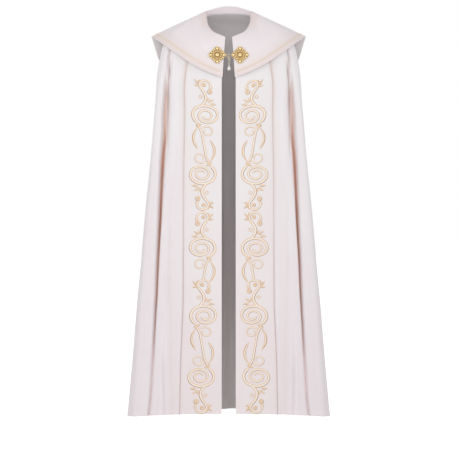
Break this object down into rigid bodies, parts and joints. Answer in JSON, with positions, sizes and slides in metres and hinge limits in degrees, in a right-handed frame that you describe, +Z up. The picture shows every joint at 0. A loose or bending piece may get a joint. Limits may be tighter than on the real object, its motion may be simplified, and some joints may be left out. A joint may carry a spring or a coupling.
{
  "type": "cope vestment",
  "caption": "Open-fronted liturgical cope, worn form: full-length fluted cloth, embroidered front bands, wide cape collar with galloon, filigree clasp and a small drop pendant.",
  "frame": {"origin": "middle of the wearer's neck at the height of the back neck seam, where the shoulders hold the cope", "axes": "+Z up along the wearer's height, the front faces -Y, +X is to the viewer's right seen from the front"},
  "size_m": [0.751, 0.5153, 1.5229],
  "materials": {
    "rose_satin": "soft satin sheen",
    "orphrey_satin": "satin with gold thread embroidery",
    "galloon_braid": "woven metallic braid",
    "clasp_gold": "polished filigree with dark recesses",
    "pale_metal": "pale gold plate",
    "pearl": "pearl lustre"
  },
  "bodies": {
    "cope": {"back_panel": "rose_satin", "front_left": "rose_satin", "front_right": "rose_satin", "orphrey_left": "orphrey_satin", "orphrey_right": "orphrey_satin", "cape_collar": "rose_satin", "neckband": "rose_satin", "collar_galloon": "galloon_braid", "clasp_plate_left": "clasp_gold", "clasp_plate_right": "clasp_gold", "clasp_hook": "clasp_gold", "clasp_eye": "clasp_gold"},
    "pendant": {"pendant_ring": "clasp_gold", "chain_link_1": "pale_metal", "chain_link_2": "pale_metal", "chain_link_3": "pale_metal", "pendant_bail": "pale_metal", "pendant_cap": "pale_metal", "pendant_drop": "pearl"}
  },
  "joints": [
    {"name": "pendant_swing", "type": "hinge", "parent": "cope", "child": "pendant", "pos_m": [0.001, -0.13886, -0.1796], "axis": [-1, 0, 0], "range_deg": [-10, 75]}
  ]
}
